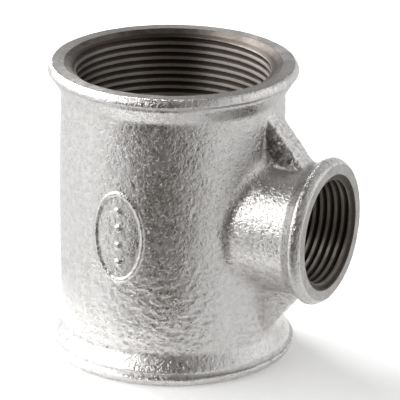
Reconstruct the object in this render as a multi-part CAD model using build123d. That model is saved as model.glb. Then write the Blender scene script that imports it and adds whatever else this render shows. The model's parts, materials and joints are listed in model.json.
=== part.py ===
from build123d import *
from math import radians, sin, tan
import os

# Reducing tee for pipe threads, in malleable cast iron. All lengths are in millimetres.
# The run axis is Z and the branch axis is parallel to +X. The origin is the centre of
# the bottom end face, on the run axis. The real fitting is one casting: the nodes are its
# regions, each a closed solid that meets its neighbours face to face.

# Pipe threads: 55 degree Whitworth form, parallel, internal, right-handed. The tapped bores
# are drilled wider than the basic minor radius, within the thread's tolerance.
thread_pitch = 2.309
thread_depth = 1.479
flank_half_angle = 27.5
root_land = thread_pitch / 6
bore_allowance = 0.3
mouth_half_angle = 60
run_major_radius = 59.614 / 2
run_minor_radius = run_major_radius - thread_depth
run_bore_radius = run_minor_radius + bore_allowance
branch_major_radius = 33.249 / 2
branch_minor_radius = branch_major_radius - thread_depth
groove_clearance = 0.25

# Laying lengths from the crossing of the two axes to the end faces.
run_half_length = 44.0
branch_length = 52.0
run_thread_length = 24.0
branch_thread_length = 19.0

# Barrel: slightly fuller at mid-height than where it meets the end bands.
barrel_end_radius = 33.0
barrel_middle_radius = 33.45
run_waterway_radius = 27.8
run_sleeve_radius = 31.0
run_mouth_radius = 32.1

# Reinforcing band at each end of the run: a conical flare, filleted to the barrel, under a
# rounded lip that stands a little way out from it.
flare_angle = 31.0
run_flare_start = 35.0
run_flare_fillet = 2.5
run_flare_radius = 36.1
run_lip_radius = 36.9
run_lip_widest = 41.8
run_face_radius = 35.2

# Branch neck and its band, measured along the branch from the run axis.
neck_radius = 19.4
neck_fillet = 5.0
neck_saddle_radius = 26.0
branch_waterway_radius = 14.6
branch_sleeve_radius = 17.25
branch_mouth_radius = 17.25
branch_flare_start = 44.8
branch_flare_fillet = 1.5
branch_flare_radius = 21.3
branch_lip_radius = 21.8
branch_lip_widest = 49.1
branch_face_radius = 19.8

# Two webs in the plane of the axes, between the barrel and the neck. Their sides have draft,
# so each is a wedge that is thinnest along its sloped outer edge.
rib_half_thickness = 4.3
rib_root_half_thickness = 7.0
rib_root_depth = 18.0
rib_edge_fillet = 1.4
rib_barrel_end = 33.4
rib_neck_end = 18.8
rib_neck_reach = 45.2

# Plain raised mark on the barrel, on the -Y side: an oval ring round a row of pips.
mark_height = 0.5
mark_half_width = 8.3
mark_half_length = 13.8
mark_stroke = 1.1
pip_radius = 1.25
pip_spacing = 5.2
pip_rows = (-1.5, -0.5, 0.5, 1.5)

overlap = 1.0
total_height = 2 * run_half_length
casting_reach = 100.0
mid = Pos(0, 0, run_half_length)
along_branch = Pos(0, 0, run_half_length) * Rot(0, 90, 0)
upwards = (Align.CENTER, Align.CENTER, Align.MIN)


def band_edges(end, flare_start, flare_fillet, body, flare_end, lip, widest, face):
    """Outline of an end band as (radius, distance) edges, from the body out to the axis."""
    root = JernArc((body, flare_start), (0, 1), flare_fillet, -flare_angle)
    flare_length = (flare_end - (root @ 1).X) / sin(radians(flare_angle))
    flare = Line(root @ 1, (root @ 1) + (root % 1) * flare_length)
    corner = TangentArc((lip, widest), flare @ 1, tangent=(0, -1))
    crown = TangentArc((lip, widest), (face, end), tangent=(0, 1))
    end_face = Line((face, end), (0, end))
    return [root, flare, corner, crown, end_face]


def spun(edges):
    """Solid of revolution about Z from the closed outline that the edges make."""
    return revolve(Plane.XZ * make_face(edges), Axis.Z)


def run_blank():
    """Outside of the run: the barrel with a band at each end."""
    band = band_edges(
        run_half_length,
        run_flare_start,
        run_flare_fillet,
        barrel_end_radius,
        run_flare_radius,
        run_lip_radius,
        run_lip_widest,
        run_face_radius,
    )
    lower_band = [edge.mirror(Plane.XZ) for edge in band]
    barrel = barrel_edge(0.0)
    spine = Line((0, -run_half_length), (0, run_half_length))
    return mid * spun([barrel, spine] + band + lower_band)


def barrel_edge(outwards):
    """The barrel's slightly bulged outline, moved outwards by the given distance."""
    return ThreePointArc(
        (barrel_end_radius + outwards, -run_flare_start),
        (barrel_middle_radius + outwards, 0),
        (barrel_end_radius + outwards, run_flare_start),
    )


def branch_blank():
    """Outside of the branch: the neck with its band, from the run axis to the branch face."""
    band = band_edges(
        branch_length,
        branch_flare_start,
        branch_flare_fillet,
        neck_radius,
        branch_flare_radius,
        branch_lip_radius,
        branch_lip_widest,
        branch_face_radius,
    )
    inner = Polyline((0, branch_length), (0, 0), (neck_radius, 0), (neck_radius, branch_flare_start))
    return along_branch * spun(list(inner.edges()) + band)


def casting_blank():
    """Run and branch joined, with the fillet where the neck leaves the barrel."""
    run = run_blank()
    branch = branch_blank()
    joined = run + branch
    return fillet(new_edges(run, branch, combined=joined), neck_fillet)


def mouth_chamfer(bore_radius, mouth_radius):
    """Countersink that opens a thread; its wide end is just past the face, at z = 0."""
    slope = tan(radians(mouth_half_angle))
    depth = (mouth_radius - bore_radius) / slope
    cone = Cone(
        bore_radius - overlap * slope,
        mouth_radius + overlap * slope,
        depth + 2 * overlap,
        align=upwards,
    )
    return Pos(0, 0, -depth - overlap) * cone


def run_hollow():
    """Everything inside the run: waterway, thread seats and mouth chamfers."""
    waterway = Pos(0, 0, -overlap) * Cylinder(
        run_waterway_radius, total_height + 2 * overlap, align=upwards
    )
    seat = Cylinder(run_sleeve_radius, run_thread_length + overlap, align=upwards)
    chamfer = mouth_chamfer(run_bore_radius, run_mouth_radius)
    top_end = Pos(0, 0, total_height)
    bottom_end = Rot(180, 0, 0)
    top_seat = Pos(0, 0, total_height - run_thread_length) * seat
    bottom_seat = Pos(0, 0, -overlap) * seat
    return waterway + top_seat + bottom_seat + top_end * chamfer + bottom_end * chamfer


def branch_hollow():
    """Everything inside the branch: waterway and thread seat."""
    waterway = Cylinder(branch_waterway_radius, branch_length, align=upwards)
    seat = Pos(0, 0, branch_length - branch_thread_length) * Cylinder(
        branch_sleeve_radius, branch_thread_length + overlap, align=upwards
    )
    return along_branch * (waterway + seat)


def half_space(distance):
    """Block that fills everything past the given distance along +Z."""
    block = Box(2 * casting_reach, 2 * casting_reach, casting_reach, align=upwards)
    return Pos(0, 0, distance) * block


def thread_groove(major_radius, minor_radius, length):
    """Helical groove about Z, from one pitch below z = 0 to one pitch past the length."""
    inner_radius = minor_radius - groove_clearance
    half_root = root_land / 2
    half_mouth = half_root + (major_radius - inner_radius) * tan(radians(flank_half_angle))
    path = Helix(thread_pitch, length + 2 * thread_pitch, inner_radius)
    section = Plane.XZ * Polygon(
        (inner_radius, -half_mouth),
        (major_radius, -half_root),
        (major_radius, half_root),
        (inner_radius, half_mouth),
        align=None,
    )
    return Pos(0, 0, -thread_pitch) * sweep(section, path=path, is_frenet=True)


def through_bore(radius, length):
    """Cylinder about Z that passes both ends of a sleeve of the given length."""
    return Pos(0, 0, -overlap) * Cylinder(radius, length + 2 * overlap, align=upwards)


def threaded_sleeve(major_radius, minor_radius, sleeve_radius, mouth_radius, length):
    """Machined zone of one port about Z, from its inner end at z = 0 to the face."""
    bore_radius = minor_radius + bore_allowance
    sleeve = Cylinder(sleeve_radius, length, align=upwards) - through_bore(minor_radius, length)
    threaded = sleeve - thread_groove(major_radius, minor_radius, length)
    tapped = threaded - through_bore(bore_radius, length)
    return tapped - Pos(0, 0, length) * mouth_chamfer(bore_radius, mouth_radius)


def run_thread():
    return threaded_sleeve(
        run_major_radius,
        run_minor_radius,
        run_sleeve_radius,
        run_mouth_radius,
        run_thread_length,
    )


def branch_thread():
    return threaded_sleeve(
        branch_major_radius,
        branch_minor_radius,
        branch_sleeve_radius,
        branch_mouth_radius,
        branch_thread_length,
    )


def upper_rib(blank):
    """Wedge above the neck, with rounded outer edges, cut to the barrel and the neck."""
    barrel_end = Vector(barrel_end_radius, 0, rib_barrel_end)
    neck_end = Vector(rib_neck_reach, 0, rib_neck_end)
    down_slope = (neck_end - barrel_end).normalized()
    outwards = Vector(-down_slope.Z, 0, down_slope.X)
    outer_plane = Plane((barrel_end + neck_end) * 0.5, x_dir=down_slope, z_dir=outwards)
    length = 2 * (neck_end - barrel_end).length
    outer_face = outer_plane * Rectangle(length, 2 * rib_half_thickness)
    root_face = outer_plane.offset(-rib_root_depth) * Rectangle(length, 2 * rib_root_half_thickness)
    wedge = loft([root_face, outer_face])
    corners = wedge.faces().sort_by(Axis(outer_plane.origin, outwards))[-1].edges()
    long_edges = corners.filter_by(lambda edge: abs(edge.tangent_at(0.5).Y) < 0.1)
    return mid * fillet(long_edges, rib_edge_fillet) - blank


def barrel_skin():
    """Thin layer that lies on the barrel, as thick as the raised mark."""
    outer = [barrel_edge(mark_height), barrel_edge(0.0)]
    top = Line(outer[0] @ 1, outer[1] @ 1)
    bottom = Line(outer[0] @ 0, outer[1] @ 0)
    return mid * spun(outer + [top, bottom])


def mark_ring():
    """Raised oval ring on the -Y side of the barrel."""
    oval = Ellipse(mark_half_width, mark_half_length)
    oval -= Ellipse(mark_half_width - mark_stroke, mark_half_length - mark_stroke)
    column = extrude(Plane.XZ * oval, casting_reach)
    return (mid * column) & barrel_skin()


def mark_pips():
    """Raised pips in a row inside the oval ring."""
    skin = barrel_skin()
    pip = extrude(Plane.XZ * Circle(pip_radius), casting_reach)
    pips = [(Pos(0, 0, row * pip_spacing) * mid * pip) & skin for row in pip_rows]
    return Compound(children=[solid for one in pips for solid in one.solids()])


def casting_regions():
    """The hollow casting cut into its barrel, bands and neck."""
    blank = casting_blank()
    shell = blank - run_hollow() - branch_hollow()
    top_zone = mid * half_space(run_flare_start)
    bottom_zone = mid * Rot(180, 0, 0) * half_space(run_flare_start)
    band_zone = along_branch * half_space(branch_flare_start)
    saddle = along_branch * Cylinder(neck_saddle_radius, branch_flare_start, align=upwards)
    rib = upper_rib(blank)
    return {
        "run_barrel": shell - top_zone - bottom_zone - band_zone - saddle,
        "top_band": shell & top_zone,
        "bottom_band": shell & bottom_zone,
        "branch_neck": shell & saddle,
        "branch_band": shell & band_zone,
        "upper_rib": rib,
        "lower_rib": rib.mirror(Plane.XY.offset(run_half_length)),
    }


def all_nodes():
    nodes = casting_regions()
    top = Pos(0, 0, total_height - run_thread_length)
    bottom = Pos(0, 0, run_thread_length) * Rot(180, 0, 0)
    nodes["top_thread"] = top * run_thread()
    nodes["bottom_thread"] = bottom * run_thread()
    nodes["branch_thread"] = (
        along_branch * Pos(0, 0, branch_length - branch_thread_length) * branch_thread()
    )
    nodes["mark_ring"] = mark_ring()
    nodes["mark_pips"] = mark_pips()
    return nodes


os.makedirs("parts", exist_ok=True)
for name, shape in all_nodes().items():
    shape.label = name
    export_step(shape, f"parts/{name}.step")
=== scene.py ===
import json
import math

import bmesh
import bpy
import numpy as np
from mathutils import Matrix, Vector


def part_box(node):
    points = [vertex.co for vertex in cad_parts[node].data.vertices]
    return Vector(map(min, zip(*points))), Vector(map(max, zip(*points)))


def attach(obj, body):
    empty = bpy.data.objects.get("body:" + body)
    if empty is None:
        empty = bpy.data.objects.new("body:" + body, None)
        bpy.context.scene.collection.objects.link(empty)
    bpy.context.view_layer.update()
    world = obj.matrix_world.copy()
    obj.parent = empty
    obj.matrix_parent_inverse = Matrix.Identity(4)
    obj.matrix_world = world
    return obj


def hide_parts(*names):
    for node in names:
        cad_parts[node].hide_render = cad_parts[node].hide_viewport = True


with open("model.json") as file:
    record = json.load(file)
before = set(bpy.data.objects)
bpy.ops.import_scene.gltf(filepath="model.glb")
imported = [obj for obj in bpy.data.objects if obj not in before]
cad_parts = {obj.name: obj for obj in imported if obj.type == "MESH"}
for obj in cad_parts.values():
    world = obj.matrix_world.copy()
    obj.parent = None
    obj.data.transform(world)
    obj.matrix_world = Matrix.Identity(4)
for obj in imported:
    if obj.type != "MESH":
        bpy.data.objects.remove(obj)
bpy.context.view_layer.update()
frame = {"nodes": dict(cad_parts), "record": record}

# A galvanised reducing pipe tee, cast in one piece. The skin of the casting is one mesh, made
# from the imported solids, given its cast texture, machined, and cut at the CAD nodes' borders.
# Sizes are in metres, in the CAD frame: run axis Z, branch axis parallel to +X.
MM = 0.001

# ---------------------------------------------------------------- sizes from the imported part
mounts = {mount["name"]: mount for mount in frame["record"]["mounts"]}
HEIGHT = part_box("top_band")[1].z
MID = HEIGHT / 2
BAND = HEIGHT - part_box("top_band")[0].z
LIP_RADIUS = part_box("top_band")[1].x
BARREL_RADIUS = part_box("run_barrel")[1].y
RUN_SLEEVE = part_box("top_thread")[1].x
RUN_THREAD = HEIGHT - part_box("top_thread")[0].z
RUN_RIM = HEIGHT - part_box("top_thread")[1].z
RUN_BORE = mounts["top_port"]["dims"]["r_mm"] * MM
RUN_WATERWAY = 27.8 * MM
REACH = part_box("branch_band")[1].x
BRANCH_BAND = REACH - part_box("branch_band")[0].x
BRANCH_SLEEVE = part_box("branch_thread")[1].y
BRANCH_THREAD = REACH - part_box("branch_thread")[0].x
BRANCH_BORE = mounts["branch_port"]["dims"]["r_mm"] * MM
BRANCH_WATERWAY = 14.6 * MM
SADDLE_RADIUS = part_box("branch_neck")[1].y
RIB_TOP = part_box("upper_rib")[1].z
RIB_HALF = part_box("upper_rib")[1].y
RIB_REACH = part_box("upper_rib")[1].x
MARK_HALF_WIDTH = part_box("mark_ring")[1].x
MARK_HALF_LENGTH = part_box("mark_ring")[1].z - MID
PIP_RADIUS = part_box("mark_pips")[1].x
PIP_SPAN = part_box("mark_pips")[1].z - MID - PIP_RADIUS

MOUTH_SLOPE = math.tan(math.radians(60))
RUN_MOUTH = RUN_SLEEVE + RUN_RIM * MOUTH_SLOPE
THREAD_PITCH = 2.309 * MM
THREAD_DEPTH = 1.479 * MM
BORE_ALLOWANCE = 0.3 * MM
FLANK_ANGLE = math.radians(27.5)

# ---------------------------------------------------------------- sizes of the cast skin
FINE_VOXEL = 0.38 * MM
VOXEL = FINE_VOXEL
PAST = 1.0 * MM  # how far a cutter runs past what it cuts
FACING_STOCK = 0.22 * MM  # what the casting has over its finished ends
RINGS = 256
MARK_HEIGHT = 0.5 * MM
MARK_STROKE = 1.2 * MM
MARK_MARGIN = 0.7 * MM
MARK_BED = 32.8 * MM
PIP_COUNT = 4
RIB_MARGIN = 0.8 * MM
PARTING_HEIGHT = 0.16 * MM
BEAD_FOOT = LIP_RADIUS - 0.8 * MM
BEAD_DOWN = 3.15 * MM
BEAD_GROOVE = 0.42 * MM
NECK_RADIUS = 19.4 * MM
SOFTENING = 0.5  # how far one round of smoothing moves a point towards its neighbours
SOFT_ROUNDS = 3
RIB_ROUNDS = int(7 * (FINE_VOXEL / VOXEL) ** 2) + 1
LEVEL_ROUNDS = 12  # smooths the grain away, to tell hollows from ridges
HOLLOW_DEPTH = 0.1 * MM

CASTING_NODES = (
    "run_barrel", "top_band", "bottom_band", "branch_neck", "branch_band", "upper_rib", "lower_rib",
)
THREAD_NODES = ("top_thread", "bottom_thread", "branch_thread")
SKIN, FACED, MOUTH, BORE, HIDDEN = range(5)
TO_BRANCH = Matrix.Translation((0, 0, MID)) @ Matrix.Rotation(math.radians(90), 4, "Y")


# ---------------------------------------------------------------- mesh helpers
def new_object(name, mesh):
    """Object of the given mesh, in the scene."""
    made = bpy.data.objects.new(name, mesh)
    bpy.context.scene.collection.objects.link(made)
    return made


def mesh_object(name, points, faces):
    """Object with a mesh of the given points and faces."""
    mesh = bpy.data.meshes.new(name)
    mesh.from_pydata([tuple(point) for point in points], [], faces)
    mesh.update()
    return new_object(name, mesh)


def discard(thing):
    mesh = thing.data
    bpy.data.objects.remove(thing)
    bpy.data.meshes.remove(mesh)


def applied(thing):
    """The object with its modifiers worked into its mesh."""
    graph = bpy.context.evaluated_depsgraph_get()
    graph.update()
    baked = bpy.data.meshes.new_from_object(thing.evaluated_get(graph))
    old = thing.data
    thing.modifiers.clear()
    thing.data = baked
    bpy.data.meshes.remove(old)
    return thing


def copy_of(thing, name):
    return new_object(name, thing.data.copy())


def combine(target, cutter, operation):
    """The target changed by the cutter; both are closed meshes."""
    step = target.modifiers.new("combine", "BOOLEAN")
    step.solver = "MANIFOLD"
    step.operation = operation
    step.object = cutter
    return applied(target)


def values_of(data, key, size, kind=float):
    """One value of the given size for each item of a mesh's data, as an array."""
    flat = np.zeros(len(data) * size, kind)
    data.foreach_get(key, flat)
    return flat.reshape(-1, size) if size > 1 else flat


def points_of(mesh):
    return values_of(mesh.vertices, "co", 3)


def set_points(mesh, points):
    mesh.vertices.foreach_set("co", points.astype(np.float32).ravel())
    mesh.update()


def store(mesh, name, kind, domain, values):
    """Adds an attribute to the mesh."""
    made = mesh.attributes.new(name, kind, domain)
    key = "vector" if kind == "FLOAT_VECTOR" else "value"
    made.data.foreach_set(key, np.ascontiguousarray(values).ravel())


def stored(mesh, name):
    """The values of one of the mesh's attributes."""
    found = mesh.attributes[name]
    size = 3 if found.data_type == "FLOAT_VECTOR" else 1
    key = "vector" if size == 3 else "value"
    return values_of(found.data, key, size, int if found.data_type == "INT" else float)


def loop_corners(mesh):
    """For each face corner: its vertex and its face."""
    vertex = values_of(mesh.loops, "vertex_index", 1, int)
    total = values_of(mesh.polygons, "loop_total", 1, int)
    return vertex, np.repeat(np.arange(len(total)), total)


def smoothstep(value, low, high):
    """Smooth step from 0 at low to 1 at high."""
    t = np.clip((value - low) / (high - low), 0, 1)
    return t * t * (3 - 2 * t)


def lathe(name, outline, kinds, inwards=1, matrix=None):
    """Closed solid of revolution about Z. The outline is (radius, height) pairs that start and end on
    the axis, and kinds says what each stretch between them is. Its surface normals are kept as the
    casting will have them: inwards is -1 on a solid that is taken away."""
    turns = np.arange(RINGS) * 2 * math.pi / RINGS
    points = [(0, 0, outline[0][1])]
    for radius, height in outline[1:-1]:
        points += [(radius * math.cos(a), radius * math.sin(a), height) for a in turns]
    points.append((0, 0, outline[-1][1]))
    last, rows = len(points) - 1, len(outline) - 3
    faces, face_kinds, normals = [], [], []

    def add(face, stretch, angles):
        (r0, z0), (r1, z1) = outline[stretch], outline[stretch + 1]
        length = math.hypot(r1 - r0, z1 - z0)
        out, up = (z1 - z0) / length * inwards, -(r1 - r0) / length * inwards
        faces.append(face)
        face_kinds.append(kinds[stretch])
        normals.extend((out * math.cos(a), out * math.sin(a), up) for a in angles)

    for i in range(RINGS):
        j = (i + 1) % RINGS
        a, b = turns[i], turns[j]
        add((0, 1 + j, 1 + i), 0, (a, b, a))
        for row in range(rows):
            low, high = 1 + row * RINGS, 1 + (row + 1) * RINGS
            add((low + i, low + j, high + j, high + i), row + 1, (a, b, b, a))
        top_row = 1 + rows * RINGS
        add((last, top_row + i, top_row + j), rows + 1, (a, a, b))
    made = mesh_object(name, points, faces)
    normals = np.array(normals)
    if matrix:
        made.data.transform(matrix)
        normals = normals @ np.array(matrix.to_3x3()).T
    store(made.data, "surface", "INT", "FACE", np.array(face_kinds))
    store(made.data, "skin_normal", "FLOAT_VECTOR", "CORNER", normals)
    return made


def block(name, low, high):
    """Closed box for cutting; the faces that it leaves are hidden inside the object."""
    made = bmesh.new()
    bmesh.ops.create_cube(made, size=1.0)
    centre, size = (Vector(low) + Vector(high)) / 2, Vector(high) - Vector(low)
    for vert in made.verts:
        vert.co = Vector([centre[k] + vert.co[k] * size[k] for k in range(3)])
    mesh = bpy.data.meshes.new(name)
    made.to_mesh(mesh)
    made.free()
    store(mesh, "surface", "INT", "FACE", np.full(len(mesh.polygons), HIDDEN))
    return new_object(name, mesh)


def oval_column(name, half_width, half_length, height):
    """Oval prism on the -Y side of the barrel, centred at the given height."""
    turns = np.arange(RINGS // 2) * 4 * math.pi / RINGS
    count = len(turns)
    points = []
    for y in (-LIP_RADIUS, -RUN_SLEEVE):
        points += [(half_width * math.cos(a), y, height + half_length * math.sin(a)) for a in turns]
    sides = [(i, (i + 1) % count, count + (i + 1) % count, count + i) for i in range(count)]
    faces = [tuple(reversed(range(count))), tuple(range(count, 2 * count))] + sides
    made = mesh_object(name, points, faces)
    turned = bmesh.new()
    turned.from_mesh(made.data)
    bmesh.ops.recalc_face_normals(turned, faces=turned.faces)
    turned.to_mesh(made.data)
    turned.free()
    store(made.data, "surface", "INT", "FACE", np.full(len(made.data.polygons), HIDDEN))
    return made


# ---------------------------------------------------------------- cast texture
def lattice_noise(points, size, seed, stretch=(1, 1, 1)):
    """Gradient noise, about -1 to 1, with features of the given size; the same on every run."""
    side = 64
    spread = 1.6
    gradients = np.random.default_rng(seed).standard_normal((side, side, side, 3))
    gradients /= np.linalg.norm(gradients, axis=-1, keepdims=True)
    scaled = points / (size * np.array(stretch)) + side
    cell = np.floor(scaled).astype(int)
    inside = scaled - cell
    ease = inside ** 3 * (inside * (inside * 6 - 15) + 10)
    total = np.zeros(len(points))
    for corner in np.ndindex(2, 2, 2):
        offset = np.array(corner)
        ids = (cell + offset) % side
        slope = gradients[ids[:, 0], ids[:, 1], ids[:, 2]]
        weight = np.prod(np.where(offset, ease, 1 - ease), axis=1)
        total += weight * np.sum(slope * (inside - offset), axis=1)
    return total * spread


def relaxed(points, edges, rounds, strength):
    """Laplacian smoothing, as strong at each point as its strength says."""
    first, second = edges[:, 0], edges[:, 1]
    count = np.bincount(first, minlength=len(points)) + np.bincount(second, minlength=len(points))
    for _ in range(rounds):
        mean = np.empty_like(points)
        for k in range(3):
            total = np.bincount(first, weights=points[second, k], minlength=len(points))
            total += np.bincount(second, weights=points[first, k], minlength=len(points))
            mean[:, k] = total / count
        points = points + (mean - points) * strength[:, None]
    return points


def mark_relief(points):
    """Height of the oval ring and its pips over the barrel at each point."""
    tiny = 1e-9
    across, along = points[:, 0], points[:, 2] - MID
    half_width = MARK_HALF_WIDTH - MARK_STROKE / 2
    half_length = MARK_HALF_LENGTH - MARK_STROKE / 2
    level = np.hypot(across / half_width, along / half_length) + tiny
    steepness = np.hypot(across / half_width ** 2, along / half_length ** 2) / level + tiny
    from_ring = np.abs(level - 1) / steepness
    half = MARK_STROKE / 2
    relief = 1 - smoothstep(from_ring, half - 0.35 * MM, half + 0.25 * MM)
    for row in np.linspace(-PIP_SPAN, PIP_SPAN, PIP_COUNT):
        from_pip = np.hypot(across, along - row)
        pip = 1 - smoothstep(from_pip, PIP_RADIUS - 0.6 * MM, PIP_RADIUS + 0.15 * MM)
        relief = np.maximum(relief, pip)
    on_front = (points[:, 1] < -RUN_WATERWAY) & (np.abs(along) < MARK_HALF_LENGTH + PAST)
    return np.where(on_front, relief * MARK_HEIGHT, 0)


def cast_relief(points):
    """Height of the cast texture: sand grain on the barrel, rippled low down, calm on the bands."""
    x, y, z = points.T
    from_end = MID - np.abs(z - MID)
    on_run_band = 1 - smoothstep(from_end, BAND - 1 * MM, BAND + 3 * MM)
    on_branch_band = smoothstep(x, REACH - BRANCH_BAND - 2 * MM, REACH - BRANCH_BAND + 2 * MM)
    calm = 1 - 0.5 * np.maximum(on_run_band, on_branch_band)
    warp = lattice_noise(points, 4 * MM, 11)[:, None] * np.array([1, 1, 0.6]) * 0.7 * MM
    grain = -np.abs(lattice_noise(points + warp, 1.7 * MM, 3))
    scales = -np.abs(lattice_noise(points + warp, 2.2 * MM, 8, (1.4, 1.4, 0.75)))
    low_down = 1 - smoothstep(z, MID - 12 * MM, MID)
    ripple = lattice_noise(points, 1.3 * MM, 4)
    swell = lattice_noise(points, 6 * MM, 5)
    sway = lattice_noise(points, 19 * MM, 6)
    on_webs = smoothstep(x, BARREL_RADIUS, BARREL_RADIUS + 2 * MM) * (1 - on_branch_band)
    on_webs *= 1 - smoothstep(np.abs(y), RIB_HALF + 1 * MM, RIB_HALF + 3 * MM)
    on_webs *= smoothstep(np.abs(z - MID), NECK_RADIUS, NECK_RADIUS + 2 * MM)
    pits = -smoothstep(lattice_noise(points, 1.9 * MM, 9), 0.25, 0.7)
    patch = 0.65 + 0.45 * smoothstep(lattice_noise(points, 12 * MM, 7), -0.4, 0.4)
    rough = 0.11 * grain * (1 - low_down) + 0.30 * scales * low_down + 0.06 * ripple
    webs = on_webs * (0.22 * pits + 0.08 * ripple)
    return (rough * calm * patch + webs + 0.05 * swell + 0.10 * sway) * MM


def bead_relief(points):
    """Groove at the foot of each lip of the run, where the flare of its band ends."""
    x, y, z = points.T
    from_foot = np.hypot(np.hypot(x, y) - BEAD_FOOT, MID - BEAD_DOWN - np.abs(z - MID))
    return -BEAD_GROOVE * (1 - smoothstep(from_foot, 0.2 * MM, 1.2 * MM))


def parting_relief(points):
    """Low ridge where the two halves of the mould met, mostly ground away."""
    along = lattice_noise(points, 5 * MM, 21, (1, 8, 1))
    drift = 0.25 * MM * lattice_noise(points, 9 * MM, 22, (1, 8, 1))
    ridge = 1 - smoothstep(np.abs(points[:, 1] - drift), 0.15 * MM, 0.65 * MM)
    on_outside = np.hypot(points[:, 0], points[:, 1]) > BARREL_RADIUS - 2 * MM
    return np.where(on_outside, ridge * (0.6 + 0.4 * along) * PARTING_HEIGHT, 0)


def casting_blank():
    """The casting before machining, solid, as one closed skin."""
    joined = bmesh.new()
    for name in CASTING_NODES + THREAD_NODES:
        joined.from_mesh(frame["nodes"][name].data)
    plug = RUN_SLEEVE - PAST / 2
    branch_plug = BRANCH_SLEEVE - PAST / 2
    kinds = (SKIN, SKIN, SKIN)
    run_plug = lathe("run_plug", [(0, PAST / 4), (plug, PAST / 4), (plug, HEIGHT - PAST / 4),
                                  (0, HEIGHT - PAST / 4)], kinds)
    side_plug = lathe("side_plug", [(0, 0), (branch_plug, 0), (branch_plug, REACH - PAST / 4),
                                    (0, REACH - PAST / 4)], kinds, matrix=TO_BRANCH)
    for part in (run_plug, side_plug):
        joined.from_mesh(part.data)
        discard(part)
    mesh = bpy.data.meshes.new("casting")
    joined.to_mesh(mesh)
    joined.free()
    blank = new_object("casting", mesh)
    remesh = blank.modifiers.new("skin", "REMESH")
    remesh.mode = "VOXEL"
    remesh.voxel_size = VOXEL
    return applied(blank)


def web_shade_patch(points, normals):
    """How far each point has painted shade: a ragged dark patch on each side face of the upper web,
    clear of the fillets to the barrel and the neck."""
    x, y, z = points.T
    fillet = 1.5 * MM
    from_barrel = np.maximum(x - BARREL_RADIUS + fillet, 0)
    from_neck = np.maximum(z - MID - NECK_RADIUS + fillet, 0)
    ragged = lattice_noise(points, 1.3 * MM, 31) + 0.6 * lattice_noise(points, 3.0 * MM, 32)
    patch = smoothstep(from_barrel * from_neck + 3 * MM ** 2 * ragged, 9 * MM ** 2, 12 * MM ** 2)
    patch *= 1 - smoothstep(np.abs(y), RIB_HALF + 0.5 * MM, RIB_HALF + 2 * MM)
    patch *= 1 - smoothstep(z, HEIGHT - BAND - 2 * MM, HEIGHT - BAND - 1 * MM)
    along = (x - BARREL_RADIUS) / (RIB_REACH - BARREL_RADIUS)
    outwards = along + (z - MID - NECK_RADIUS) / (RIB_TOP - MID - NECK_RADIUS)
    patch *= 1 - smoothstep(outwards + 0.12 * ragged, 0.72, 0.84)
    return patch * smoothstep(np.abs(normals[:, 1]) + 0.25 * ragged, 0.60, 0.74)


def soften_and_texture(blank):
    """Rounds the inner corners as a casting has them, then adds the relief of the cast skin."""
    mesh = blank.data
    mesh.materials.clear()
    points = points_of(mesh)
    edges = values_of(mesh.edges, "vertices", 2, int)
    x, y, z = points.T
    near_rib = 1 - smoothstep(np.abs(y), RIB_HALF + 3 * MM, RIB_HALF + 6 * MM)
    on_ribs = near_rib * smoothstep(x, BARREL_RADIUS - 8 * MM, BARREL_RADIUS - 2 * MM)
    on_ribs *= 1 - smoothstep(x, REACH - BRANCH_BAND, REACH - BRANCH_BAND + 2 * MM)
    on_ribs *= 1 - smoothstep(np.abs(z - MID), MID - BAND - 1 * MM, MID - BAND + 1 * MM)
    strength = np.full(len(points), SOFTENING)
    points = relaxed(points, edges, SOFT_ROUNDS, strength)
    points = relaxed(points, edges, RIB_ROUNDS, 0.6 * on_ribs)
    from_mid = np.abs(points[:, 2] - MID)
    lift = smoothstep(from_mid, MID - 1.2 * MM, MID - 0.3 * MM) * np.sign(points[:, 2] - MID)
    points[:, 2] += lift * FACING_STOCK
    points[:, 0] += smoothstep(points[:, 0], REACH - 1.2 * MM, REACH - 0.3 * MM) * FACING_STOCK
    set_points(mesh, points)
    normals = values_of(mesh.vertex_normals, "vector", 3)
    height = cast_relief(points) + mark_relief(points) + parting_relief(points) + bead_relief(points)
    points = points + normals * height[:, None]
    set_points(mesh, points)
    level = relaxed(points, edges, LEVEL_ROUNDS, strength)
    hollow = np.sum((level - points) * normals, axis=1) / HOLLOW_DEPTH
    vertex, _ = loop_corners(mesh)
    normals = values_of(mesh.vertex_normals, "vector", 3)
    store(mesh, "surface", "INT", "FACE", np.full(len(mesh.polygons), SKIN))
    store(mesh, "skin_normal", "FLOAT_VECTOR", "CORNER", normals[vertex])
    # How hollow each point lies: the skin's material uses it to darken the creases as painted shade.
    store(mesh, "hollow", "FLOAT", "CORNER", hollow[vertex])
    # The attribute scaled holds the painted shade patch on the sides of the upper web.
    store(mesh, "scaled", "FLOAT", "CORNER", web_shade_patch(points, normals)[vertex])
    return blank


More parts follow.
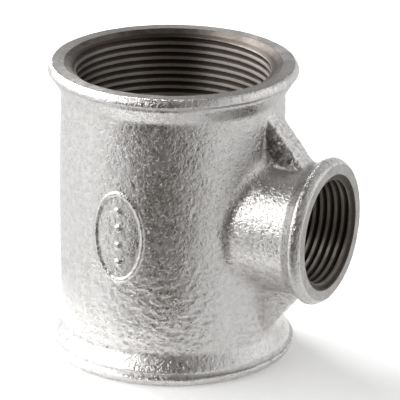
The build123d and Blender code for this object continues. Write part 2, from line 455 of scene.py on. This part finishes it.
# ---------------------------------------------------------------- machining
def machined(casting):
    """Faces the three ends and opens the waterways, thread seats and mouths."""
    faced = lathe("faced", [(0, 0), (REACH * 2, 0), (REACH * 2, HEIGHT), (0, HEIGHT)],
                  (FACED, HIDDEN, FACED))
    side = lathe("side", [(0, -REACH), (REACH * 2, -REACH), (REACH * 2, REACH), (0, REACH)],
                 (HIDDEN, HIDDEN, FACED), matrix=TO_BRANCH)
    mouth = RUN_MOUTH + PAST * MOUTH_SLOPE
    hollow = lathe(
        "hollow",
        [(0, -PAST), (mouth, -PAST), (RUN_SLEEVE, RUN_RIM), (RUN_SLEEVE, RUN_THREAD),
         (RUN_WATERWAY, RUN_THREAD), (RUN_WATERWAY, HEIGHT - RUN_THREAD),
         (RUN_SLEEVE, HEIGHT - RUN_THREAD), (RUN_SLEEVE, HEIGHT - RUN_RIM),
         (mouth, HEIGHT + PAST), (0, HEIGHT + PAST)],
        (MOUTH, MOUTH, HIDDEN, BORE, BORE, BORE, HIDDEN, MOUTH, MOUTH),
        inwards=-1,
    )
    side_hollow = lathe(
        "side_hollow",
        [(0, 0), (BRANCH_WATERWAY, 0), (BRANCH_WATERWAY, REACH - BRANCH_THREAD),
         (BRANCH_SLEEVE, REACH - BRANCH_THREAD), (BRANCH_SLEEVE, REACH + PAST), (0, REACH + PAST)],
        (BORE, BORE, BORE, HIDDEN, FACED),
        inwards=-1,
        matrix=TO_BRANCH,
    )
    for cutter, operation in ((faced, "INTERSECT"), (side, "INTERSECT"),
                              (hollow, "DIFFERENCE"), (side_hollow, "DIFFERENCE")):
        combine(casting, cutter, operation)
        discard(cutter)
    return casting


def rib_zone(name, low, high):
    """Space of one web: a slab outside the barrel and the neck."""
    half = RIB_HALF + RIB_MARGIN
    zone = block(name, (RUN_WATERWAY, -half, low), (REACH - BRANCH_BAND, half, high))
    barrel = lathe("barrel", [(0, 0), (BARREL_RADIUS, 0), (BARREL_RADIUS, HEIGHT), (0, HEIGHT)],
                   (HIDDEN,) * 3)
    neck = lathe("neck", [(0, 0), (NECK_RADIUS, 0), (NECK_RADIUS, REACH), (0, REACH)],
                 (HIDDEN,) * 3, matrix=TO_BRANCH)
    for cutter in (barrel, neck):
        combine(zone, cutter, "DIFFERENCE")
        discard(cutter)
    return zone


def mark_bed(zone):
    """The zone without the barrel wall under the mark."""
    bed = lathe("bed", [(0, 0), (MARK_BED, 0), (MARK_BED, HEIGHT), (0, HEIGHT)], (HIDDEN,) * 3)
    combine(zone, bed, "DIFFERENCE")
    discard(bed)
    return zone


def ring_zone():
    outer = oval_column("ring_zone", MARK_HALF_WIDTH + MARK_MARGIN, MARK_HALF_LENGTH + MARK_MARGIN, MID)
    hole = oval_column("ring_hole", MARK_HALF_WIDTH - MARK_STROKE - MARK_MARGIN,
                       MARK_HALF_LENGTH - MARK_STROKE - MARK_MARGIN, MID)
    combine(outer, hole, "DIFFERENCE")
    discard(hole)
    return mark_bed(outer)


def pips_zone():
    size = PIP_RADIUS + MARK_MARGIN
    rows = np.linspace(-PIP_SPAN, PIP_SPAN, PIP_COUNT)
    zone, *others = [oval_column("pip_zone", size, size, MID + row) for row in rows]
    for other in others:
        combine(zone, other, "UNION")
        discard(other)
    return mark_bed(zone)


def cut_at_nodes(casting):
    """The casting as one piece for each CAD node, in a dictionary by node name."""
    wide = REACH * 2
    zones = {
        "top_band": block("top_zone", (-wide, -wide, HEIGHT - BAND), (wide, wide, HEIGHT + PAST)),
        "bottom_band": block("bottom_zone", (-wide, -wide, -PAST), (wide, wide, BAND)),
        "branch_band": block("side_zone", (REACH - BRANCH_BAND, -wide, -PAST),
                             (wide, wide, HEIGHT + PAST)),
        "upper_rib": rib_zone("upper_zone", MID, HEIGHT - BAND),
        "lower_rib": rib_zone("lower_zone", BAND, MID),
        "branch_neck": lathe("saddle", [(0, 0), (SADDLE_RADIUS, 0), (SADDLE_RADIUS, REACH), (0, REACH)],
                             (HIDDEN,) * 3, matrix=TO_BRANCH),
        "mark_ring": ring_zone(),
        "mark_pips": pips_zone(),
    }
    pieces = {}
    for node, zone in zones.items():
        piece = copy_of(casting, "cast_" + node)
        pieces[node] = combine(piece, zone, "INTERSECT")
        combine(casting, zone, "DIFFERENCE")
        discard(zone)
    casting.name = "cast_run_barrel"
    pieces["run_barrel"] = casting
    return pieces


def finish_skin(piece, finishes):
    """Shades each face as its surface is: the skin by the whole casting's normals, cuts flat.
    The finishes are the materials of the skin, the faced ends, the mouths and the bores."""
    mesh = piece.data
    mesh.shade_smooth()
    kinds = stored(mesh, "surface")
    _, face = loop_corners(mesh)
    normals = stored(mesh, "skin_normal")
    flat = values_of(mesh.polygon_normals, "vector", 3)[face]
    lost = (kinds[face] == HIDDEN) | (np.linalg.norm(normals, axis=1) < 0.5)
    normals = np.where(lost[:, None], flat, normals)
    mesh.normals_split_custom_set(normals.tolist())
    mesh.materials.clear()
    for material in finishes:
        mesh.materials.append(material)
    mesh.polygons.foreach_set("material_index", np.minimum(kinds, BORE).astype(np.int32))
    mesh.update()


# ---------------------------------------------------------------- threads
def softly_larger(first, second):
    """The larger of two radii, with the corner between them rounded off."""
    soft = 0.05 * MM
    return 0.5 * (first + second + np.sqrt((first - second) ** 2 + soft ** 2))


def thread_radius(height, turn, bore, length, mouth):
    """Radius of a tapped and chamfered bore at a height over its inner end and a turn in radians."""
    roundness = 1.6
    pitch_radius = bore - BORE_ALLOWANCE + THREAD_DEPTH / 2
    phase = (height / THREAD_PITCH - turn / (2 * math.pi)) % 1.0
    sharp_depth = THREAD_PITCH / 2 / math.tan(FLANK_ANGLE)
    flank = (4 * np.abs(phase - 0.5) - 1) * sharp_depth / 2
    root = THREAD_DEPTH / 2
    form = pitch_radius + root * np.tanh(roundness * flank / root) / math.tanh(roundness)
    run_out = smoothstep(height, 0.2 * MM, 3.5 * MM)
    threaded = bore + (softly_larger(form, bore) - bore) * run_out
    cone = mouth - (length - height) * MOUTH_SLOPE
    return softly_larger(threaded, cone)


def threaded_port(name, bore, sleeve, mouth, length, matrix):
    """Tapped wall of a port as a closed shell, its rows following the helix."""
    touching = 1e-6
    columns, per_pitch = ((320, 16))
    rise = THREAD_PITCH / per_pitch
    rows = int(length / rise) + 2 * per_pitch + 1
    top = length - (mouth - sleeve) / MOUTH_SLOPE
    turns = np.arange(columns) * 2 * math.pi / columns
    steps = np.arange(rows)[:, None]
    heights = np.clip((steps - per_pitch) * rise + THREAD_PITCH * turns[None, :] / (2 * math.pi), 0, top)
    radii = np.minimum(thread_radius(heights, turns[None, :], bore, length, mouth), sleeve)
    radii[heights >= top] = sleeve
    shell = bmesh.new()

    def ring(ring_radii, ring_heights):
        return [shell.verts.new((r * math.cos(a), r * math.sin(a), z))
                for r, a, z in zip(ring_radii, turns, ring_heights)]

    grid = [ring(radii[i], heights[i]) for i in range(rows)]
    foot = ring(np.full(columns, sleeve), np.zeros(columns))
    crown = ring(np.full(columns, sleeve), np.full(columns, top))
    for i in range(rows - 1):
        for j in range(columns):
            k, shift = (j + 1, 0) if j + 1 < columns else (0, per_pitch)
            if i + 1 + shift < rows:
                shell.faces.new((grid[i][j], grid[i + shift][k], grid[i + 1 + shift][k], grid[i + 1][j]))
    for j in range(columns):
        k = (j + 1) % columns
        shell.faces.new((foot[k], foot[j], crown[j], crown[k]))
        shell.faces.new((foot[j], foot[k], grid[0][k], grid[0][j]))
    bmesh.ops.remove_doubles(shell, verts=shell.verts, dist=touching)
    bmesh.ops.dissolve_degenerate(shell, dist=touching, edges=shell.edges)
    bmesh.ops.recalc_face_normals(shell, faces=shell.faces)
    mesh = bpy.data.meshes.new(name)
    shell.to_mesh(mesh)
    shell.free()
    mesh.transform(matrix)
    mesh.shade_smooth()
    mesh.set_sharp_from_angle(angle=math.radians(50))
    return new_object(name, mesh)


def threaded_ports():
    top = Matrix.Translation((0, 0, HEIGHT - RUN_THREAD))
    bottom = Matrix.Translation((0, 0, RUN_THREAD)) @ Matrix.Rotation(math.pi, 4, "X")
    side = TO_BRANCH @ Matrix.Translation((0, 0, REACH - BRANCH_THREAD))
    run = (RUN_BORE, RUN_SLEEVE, RUN_MOUTH, RUN_THREAD)
    return {
        "top_thread": threaded_port("tapped_top_thread", *run, top),
        "bottom_thread": threaded_port("tapped_bottom_thread", *run, bottom),
        "branch_thread": threaded_port("tapped_branch_thread", BRANCH_BORE, BRANCH_SLEEVE,
                                       BRANCH_SLEEVE, BRANCH_THREAD, side),
    }


# ---------------------------------------------------------------- materials
class Finish:
    """A node material under construction. Every texture reads the object's own coordinates."""

    def __init__(self, name):
        self.material = bpy.data.materials.new(name)
        self.material.use_nodes = True
        self.tree = self.material.node_tree
        self.tree.nodes.clear()
        self.shader = self.tree.nodes.new("ShaderNodeBsdfPrincipled")
        output = self.tree.nodes.new("ShaderNodeOutputMaterial")
        self.tree.links.new(self.shader.outputs["BSDF"], output.inputs["Surface"])
        self.place = self.tree.nodes.new("ShaderNodeTexCoord").outputs["Object"]

    def node(self, kind, settings=None, **inputs):
        """New node. An input is given by its name, or as i and its number."""
        made = self.tree.nodes.new(kind)
        for key, value in (settings or {}).items():
            setattr(made, key, value)
        for key, value in inputs.items():
            self.set(made.inputs[int(key[1:]) if key[1:].isdigit() else key.replace("_", " ")], value)
        return made

    def set(self, socket, value):
        """Links another socket to this one, or gives it a plain value."""
        if isinstance(value, bpy.types.NodeSocket):
            self.tree.links.new(value, socket)
        else:
            socket.default_value = value

    def noise(self, size, detail=2.0, roughness=0.5, distortion=0.0, place=None):
        made = self.node("ShaderNodeTexNoise", Vector=place or self.place, Scale=1 / size,
                         Detail=detail, Roughness=roughness, Distortion=distortion)
        return made.outputs["Fac"]

    def math(self, operation, first, second=0.0):
        return self.node("ShaderNodeMath", {"operation": operation}, i0=first, i1=second).outputs[0]

    def ramp(self, value, low, high, out_low=0.0, out_high=1.0):
        made = self.node("ShaderNodeMapRange", {"interpolation_type": "SMOOTHSTEP"}, Value=value,
                         From_Min=low, From_Max=high, To_Min=out_low, To_Max=out_high)
        return made.outputs["Result"]

    def mix(self, amount, first, second):
        made = self.node("ShaderNodeMix", {"data_type": "RGBA"}, i0=amount, i6=first, i7=second)
        return made.outputs[2]

    def bump(self, height, distance):
        made = self.node("ShaderNodeBump", Height=height, Distance=distance, Strength=1.0)
        return made.outputs["Normal"]

    def attribute(self, name):
        return self.node("ShaderNodeAttribute", {"attribute_name": name}).outputs["Fac"]

    def turned(self, on_branch, stretch):
        """Stretches the highlights across the fine grooves that a cutting tool leaves round an axis."""
        axis = "X" if on_branch else "Z"
        around = self.node("ShaderNodeTangent", {"direction_type": "RADIAL", "axis": axis})
        self.set(self.shader.inputs["Tangent"], around.outputs["Tangent"])
        self.shader.inputs["Anisotropic"].default_value = stretch
        self.shader.inputs["Anisotropic Rotation"].default_value = 0.25

    def around(self, on_branch):
        """Distance from the axis of the run, or of the branch."""
        shift = self.node("ShaderNodeVectorMath", {"operation": "SUBTRACT"}, i0=self.place,
                          i1=(0, 0, MID)).outputs[0]
        keep = (0, 1, 1) if on_branch else (1, 1, 0)
        flat = self.node("ShaderNodeVectorMath", {"operation": "MULTIPLY"}, i0=shift, i1=keep)
        length = self.node("ShaderNodeVectorMath", {"operation": "LENGTH"}, i0=flat.outputs[0])
        return length.outputs["Value"]


ZINC_LIGHT = (0.79, 0.78, 0.765, 1)
ZINC_DARK = (0.66, 0.645, 0.63, 1)
ZINC_COOL = (0.72, 0.71, 0.715, 1)
BROWN_STAIN = (0.56, 0.49, 0.41, 1)
# Painted shade: the dark tone laid into the creases of the skin.
CREASE_SHADE = (0.26, 0.235, 0.215, 1)
# Painted shade: the dark tone laid into the pits of the zinc.
PIT_SHADE = (0.15, 0.135, 0.12, 1)
# Painted shade: the dark tone of the patch on each side of the upper web.
WEB_SIDE_SHADE = (0.10, 0.085, 0.075, 1)
# End faces and threads: a dull and a clean tone for each, and what is oily or dirty on them, with
# painted glints on the faces, painted shade in the thread roots and a painted highlight on the crests.
RUN_FACE = (0.17, 0.16, 0.15, 1), (0.25, 0.24, 0.23, 1)
BRANCH_FACE = (0.40, 0.385, 0.37, 1), (0.58, 0.565, 0.55, 1)
FACE_RING = (0.50, 0.485, 0.47, 1)
FACE_DIRT = (0.15, 0.135, 0.125, 1)
FACE_GLINT = (0.62, 0.61, 0.60, 1)
THREAD_FLANK = (0.11, 0.095, 0.083, 1), (0.19, 0.17, 0.15, 1)
# Painted shade deep in the thread roots.
THREAD_ROOT_SHADE = (0.085, 0.07, 0.06, 1)
# Painted highlight along the thread crests.
THREAD_CREST_HIGHLIGHT = (0.42, 0.39, 0.36, 1)
THREAD_DIRT = (0.09, 0.075, 0.065, 1)
# Inner wall: tones darker than the zinc outside, as painted shade.
WATERWAY_SHADED = (0.22, 0.195, 0.175, 1), (0.36, 0.335, 0.31, 1)
WATERWAY_DIRT = (0.13, 0.115, 0.10, 1)


def zinc_spots(f):
    """Where the zinc has a pit, and where it has a raised speck: ragged spots of many sizes."""
    colours = f.node("ShaderNodeTexNoise", Vector=f.place, Scale=1 / (0.8 * MM)).outputs["Color"]
    jagged = f.node("ShaderNodeVectorMath", {"operation": "MULTIPLY_ADD"}, i0=colours,
                    i1=(1.1 * MM,) * 3, i2=f.place).outputs[0]
    cell = f.node("ShaderNodeTexVoronoi", Vector=jagged, Scale=1 / (3.1 * MM))
    chance = f.node("ShaderNodeSeparateColor", Color=cell.outputs["Color"])
    size = f.ramp(chance.outputs[2], 0, 1, 0.05, 0.15)
    inside = f.math("GREATER_THAN", size, cell.outputs["Distance"])
    pits = f.math("MULTIPLY", inside, f.ramp(chance.outputs[0], 0.74, 0.88))
    near = f.ramp(cell.outputs["Distance"], 0.12, 0.05)
    specks = f.math("MULTIPLY", near, f.ramp(chance.outputs[1], 0.86, 0.9))
    return pits, specks


def zinc_skin():
    """Hot-dip zinc on cast iron: bright, grainy, with pits, specks and faint brown stains, and painted
    shade in its creases, in its pits and on the sides of the upper web.
    """
    f = Finish("galvanised_skin")
    broad = f.noise(16 * MM, 2, 0.5, 0.4)
    stain = f.noise(7 * MM, 3, 0.6, 0.8)
    mottle = f.noise(1.7 * MM, 3, 0.65, 0.3)
    grain = f.noise(1.05 * MM, 2, 0.55, 0.4)
    fine = f.noise(0.42 * MM, 1, 0.5)
    worms = f.math("ABSOLUTE", f.math("SUBTRACT", grain, 0.5))
    crease = f.ramp(f.attribute("hollow"), 0.2, 1.2)
    # scaled is the painted shade patch on the sides of the upper web; it also roughens them.
    scaled = f.attribute("scaled")
    pits, specks = zinc_spots(f)
    colour = f.mix(f.ramp(mottle, 0.34, 0.66), ZINC_DARK, ZINC_LIGHT)
    colour = f.mix(f.ramp(broad, 0.3, 0.7, 0.0, 0.25), colour, ZINC_COOL)
    colour = f.mix(f.ramp(stain, 0.56, 0.8, 0.0, 0.4), colour, BROWN_STAIN)
    # Painted shade in the creases, darker where the skin lies hollow.
    colour = f.mix(f.math("MULTIPLY", crease, 0.25), colour, CREASE_SHADE)
    # Painted shade in the pits.
    colour = f.mix(f.math("MULTIPLY", pits, 0.5), colour, PIT_SHADE)
    # Painted shade on the sides of the upper web, broken up by the mottle.
    web_shade = f.math("MULTIPLY", scaled, f.ramp(mottle, 0.40, 0.56, 0.5, 0.9))
    colour = f.mix(web_shade, colour, WEB_SIDE_SHADE)
    f.set(f.shader.inputs["Base Color"], colour)
    f.shader.inputs["Metallic"].default_value = 1.0
    rough = f.math("ADD", f.ramp(mottle, 0.25, 0.75, 0.22, 0.36), f.ramp(broad, 0.3, 0.7, -0.03, 0.05))
    worn = f.math("ADD", f.math("MULTIPLY", crease, 0.15), f.math("MULTIPLY", scaled, 0.12))
    f.set(f.shader.inputs["Roughness"], f.math("ADD", rough, worn))
    ridges = f.math("SUBTRACT", f.math("MULTIPLY", fine, 0.3), f.math("MULTIPLY", worms, 1.5))
    height = f.math("ADD", ridges, f.math("MULTIPLY", specks, 0.4))
    height = f.math("SUBTRACT", height, f.math("MULTIPLY", pits, 0.3))
    f.set(f.shader.inputs["Normal"], f.bump(height, 0.24 * MM))
    return f.material


def faced_iron(on_branch):
    """End faces: turned iron with fine rings from the tool, dulled and speckled by handling, with
    painted glints.
    """
    f = Finish("faced_branch" if on_branch else "faced_run")
    wander = f.math("MULTIPLY", f.noise(9 * MM, 1), 0.4 * MM)
    spread = f.node("ShaderNodeCombineXYZ", X=f.around(on_branch), Y=wander)
    rings = f.noise(0.30 * MM, 2, 0.6, place=spread.outputs[0])
    cloud = f.noise(4 * MM, 3, 0.6, 0.5)
    grit = f.noise(0.9 * MM, 3, 0.65)
    colour = f.mix(f.ramp(cloud, 0.3, 0.7), *(BRANCH_FACE if on_branch else RUN_FACE))
    colour = f.mix(f.ramp(rings, 0.3, 0.7, 0.0, 0.25), colour, FACE_RING)
    colour = f.mix(f.ramp(grit, 0.55, 0.72, 0.0, 0.55), colour, FACE_DIRT)
    # Painted glints: lighter specks where the grit noise is low.
    colour = f.mix(f.ramp(grit, 0.45, 0.3, 0.0, 0.4), colour, FACE_GLINT)
    f.set(f.shader.inputs["Base Color"], colour)
    f.shader.inputs["Metallic"].default_value = 1.0
    f.turned(on_branch, 0.4)
    f.set(f.shader.inputs["Roughness"], f.ramp(cloud, 0.3, 0.7, 0.36, 0.50))
    height = f.math("ADD", f.math("MULTIPLY", rings, 0.5), f.math("MULTIPLY", grit, 0.8))
    f.set(f.shader.inputs["Normal"], f.bump(height, 0.06 * MM))
    return f.material


def shaded_waterway():
    """Inner wall: dull, and darker than the outside as painted shade."""
    f = Finish("shaded_waterway")
    cloud = f.noise(8 * MM, 3, 0.6, 0.4)
    grain = f.noise(1.3 * MM, 3, 0.55, 0.3)
    # Painted shade: the inner wall gets darker tones than the zinc outside.
    colour = f.mix(f.ramp(cloud, 0.3, 0.7), *WATERWAY_SHADED)
    colour = f.mix(f.ramp(grain, 0.55, 0.75, 0.0, 0.6), colour, WATERWAY_DIRT)
    f.set(f.shader.inputs["Base Color"], colour)
    f.shader.inputs["Metallic"].default_value = 1.0
    f.set(f.shader.inputs["Roughness"], f.ramp(grain, 0.3, 0.7, 0.45, 0.62))
    f.set(f.shader.inputs["Normal"], f.bump(grain, 0.25 * MM))
    return f.material


def oiled_thread(on_branch, bore):
    """Bare cut thread and mouth: dark and oily, with painted shade deep between the crests and a painted
    highlight along them.
    """
    f = Finish("branch_thread_iron" if on_branch else "run_thread_iron")
    over_crest = f.math("SUBTRACT", f.around(on_branch), bore)
    depth = f.math("DIVIDE", over_crest, THREAD_DEPTH - BORE_ALLOWANCE)
    # Painted highlight along the crests.
    crest_highlight = f.ramp(depth, 0.14, 0.02)
    # Painted shade deep in the roots of the thread.
    root = f.math("MULTIPLY", f.ramp(depth, 0.25, 0.70), f.ramp(depth, 1.6, 1.2))
    cloud = f.noise(6 * MM, 3, 0.6, 0.5)
    nick = f.noise(0.8 * MM, 3, 0.6)
    colour = f.mix(root, f.mix(f.ramp(cloud, 0.3, 0.7), *THREAD_FLANK), THREAD_ROOT_SHADE)
    colour = f.mix(crest_highlight, colour, THREAD_CREST_HIGHLIGHT)
    colour = f.mix(f.ramp(nick, 0.58, 0.78, 0.0, 0.5), colour, THREAD_DIRT)
    f.set(f.shader.inputs["Base Color"], colour)
    f.shader.inputs["Metallic"].default_value = 1.0
    f.turned(on_branch, 0.9)
    f.set(f.shader.inputs["Roughness"], f.ramp(nick, 0.3, 0.7, 0.46, 0.58))
    f.set(f.shader.inputs["Normal"], f.bump(nick, 0.05 * MM))
    return f.material


# ---------------------------------------------------------------- floor, light and camera
CAMERA_TURN = math.radians(-62.0)
CAMERA_RISE = math.radians(20.52)
CAMERA_DISTANCE = 0.931
CAMERA_LENS = 282.0
CAMERA_ROLL = math.radians(0.652)
AIM_RIGHT = 8.2 * MM
AIM_UP = 0.64 * MM
CENTRE = Vector((0, 0, MID))
FLOOR_MIDDLE = 62 * MM
FLOOR_RADIUS = 4.0
FLOOR_WHITE = (0.92, 0.92, 0.92, 1)
FLOOR_GLOW = 0.2
# Directions in the room are a turn to the right of the camera and a rise, in degrees.
ROOM_BRIGHT = 0.80
ROOM_DIM = (0.115, 0.104, 0.096, 1)
ROOM_LEFT = (-115, -5)
LEFT_GLOW = 0.20
LEFT_SPREAD = 0.8
# The dim opening is what lies inside every edge: the way in from the edge, and the edge's blur.
OPENING_EDGES = ((34, 15, 8), (-61, 15, 13), (-13, 15, 9))
# A grey patch of ceiling behind the fitting, and how far it reaches: what turned iron and threads see.
CEILING = (155, 62)
CEILING_CORE, CEILING_REACH = 22, 52
CEILING_GREY = 0.40
LIGHT_DISTANCE = 0.9


def direction(turn, rise):
    """Unit vector for a turn from +X about Z and a rise over the floor, in radians."""
    return Vector((math.cos(rise) * math.cos(turn), math.cos(rise) * math.sin(turn), math.sin(rise)))


def add_camera():
    data = bpy.data.cameras.new("camera")
    data.sensor_width = 36.0
    data.lens = CAMERA_LENS
    data.clip_start = 0.01
    camera = bpy.data.objects.new("camera", data)
    bpy.context.scene.collection.objects.link(camera)
    outwards = direction(CAMERA_TURN, CAMERA_RISE)
    right = Vector((-math.sin(CAMERA_TURN), math.cos(CAMERA_TURN), 0))
    up = outwards.cross(right)
    camera.location = CENTRE + outwards * CAMERA_DISTANCE
    target = CENTRE + right * AIM_RIGHT + up * AIM_UP
    look = (target - camera.location).to_track_quat("-Z", "Y")
    camera.rotation_euler = (look.to_matrix() @ Matrix.Rotation(CAMERA_ROLL, 3, "Z")).to_euler()
    bpy.context.scene.camera = camera


def soft_light(name, turn, rise, width, height, power):
    """Rectangular softbox aimed at the fitting; the turn is to the right of the camera."""
    data = bpy.data.lights.new(name, "AREA")
    data.shape = "RECTANGLE"
    data.size = width
    data.size_y = height
    data.energy = power
    light = bpy.data.objects.new(name, data)
    bpy.context.scene.collection.objects.link(light)
    towards = seen_from_camera(turn, rise)
    light.location = CENTRE + towards * LIGHT_DISTANCE
    light.rotation_euler = towards.to_track_quat("Z", "Y").to_euler()


def circle(radius):
    turns = np.arange(RINGS) * 2 * math.pi / RINGS
    return [(radius * math.cos(a), radius * math.sin(a), 0) for a in turns]


def add_floor():
    """Pale floor. Only its middle shows in the zinc, as a white sheet under the fitting would."""
    f = Finish("pale_floor")
    f.shader.inputs["Base Color"].default_value = FLOOR_WHITE
    f.shader.inputs["Roughness"].default_value = 0.9
    f.shader.inputs["Emission Color"].default_value = (1, 1, 1, 1)
    f.shader.inputs["Emission Strength"].default_value = FLOOR_GLOW
    ring = [(i, RINGS + i, RINGS + (i + 1) % RINGS, (i + 1) % RINGS) for i in range(RINGS)]
    middle = mesh_object("floor_middle", circle(FLOOR_MIDDLE), [tuple(range(RINGS))])
    around = mesh_object("floor_around", circle(FLOOR_MIDDLE) + circle(FLOOR_RADIUS), ring)
    around.visible_glossy = False
    for part in (middle, around):
        part.data.materials.append(f.material)


def seen_from_camera(turn, rise):
    """Direction given in degrees, with the turn to the right of the camera."""
    return direction(CAMERA_TURN + math.radians(turn), math.radians(rise))


def add_world():
    """White room, brightest on the left, with a dim opening where the picture is taken from and a
    grey patch of ceiling behind."""
    world = bpy.data.worlds.new("studio")
    world.use_nodes = True
    nodes, links = world.node_tree.nodes, world.node_tree.links
    sky = nodes.new("ShaderNodeTexCoord").outputs["Generated"]

    def step(towards, start, end, low, high):
        """Smooth step in how far the sky lies towards a direction."""
        part = nodes.new("ShaderNodeVectorMath")
        part.operation = "DOT_PRODUCT"
        part.inputs[1].default_value = towards
        links.new(sky, part.inputs[0])
        ramp = nodes.new("ShaderNodeMapRange")
        ramp.interpolation_type = "SMOOTHSTEP"
        links.new(part.outputs["Value"], ramp.inputs["Value"])
        for name, value in zip(("From Min", "From Max", "To Min", "To Max"), (start, end, low, high)):
            ramp.inputs[name].default_value = value
        return ramp.outputs["Result"]

    inside = None
    for turn, rise, blur in OPENING_EDGES:
        width = math.sin(math.radians(blur))
        past_edge = step(seen_from_camera(turn, rise), -width, width, 0, 1)
        if inside:
            both = nodes.new("ShaderNodeMath")
            both.operation = "MULTIPLY"
            links.new(inside, both.inputs[0])
            links.new(past_edge, both.inputs[1])
            past_edge = both.outputs[0]
        inside = past_edge
    bright = step(seen_from_camera(*ROOM_LEFT), 0, LEFT_SPREAD, ROOM_BRIGHT, ROOM_BRIGHT + LEFT_GLOW)
    rim, core = (math.cos(math.radians(angle)) for angle in (CEILING_REACH, CEILING_CORE))
    grey = step(seen_from_camera(*CEILING), rim, core, 0, 1)
    lit = nodes.new("ShaderNodeMix")
    links.new(grey, lit.inputs[0])
    links.new(bright, lit.inputs[2])
    lit.inputs[3].default_value = CEILING_GREY
    room = nodes.new("ShaderNodeMix")
    room.data_type = "RGBA"
    links.new(inside, room.inputs[0])
    links.new(lit.outputs[0], room.inputs[6])
    room.inputs[7].default_value = ROOM_DIM
    links.new(room.outputs[2], nodes["Background"].inputs["Color"])
    bpy.context.scene.world = world


def add_studio():
    add_floor()
    add_world()
    soft_light("left_softbox", -82, 33, width=1.38, height=0.5, power=7.5)
    soft_light("back_softbox", -143, 46, width=0.3, height=0.6, power=8.0)
    soft_light("right_softbox", 95, 25, width=0.4, height=0.6, power=0.4)
    bpy.context.scene.view_settings.view_transform = "Standard"


# ---------------------------------------------------------------- the object
def build_fitting():
    casting = machined(soften_and_texture(casting_blank()))
    skin, waterway = zinc_skin(), shaded_waterway()
    faced = {False: faced_iron(False), True: faced_iron(True)}
    iron = {False: oiled_thread(False, RUN_BORE), True: oiled_thread(True, BRANCH_BORE)}
    for node, piece in cut_at_nodes(casting).items():
        finish_skin(piece, (skin, faced[node == "branch_band"], iron[False], waterway))
        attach(piece, "root")
        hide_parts(node)
    for node, piece in threaded_ports().items():
        piece.data.materials.append(iron[node == "branch_thread"])
        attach(piece, "root")
        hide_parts(node)


build_fitting()
add_camera()
add_studio()
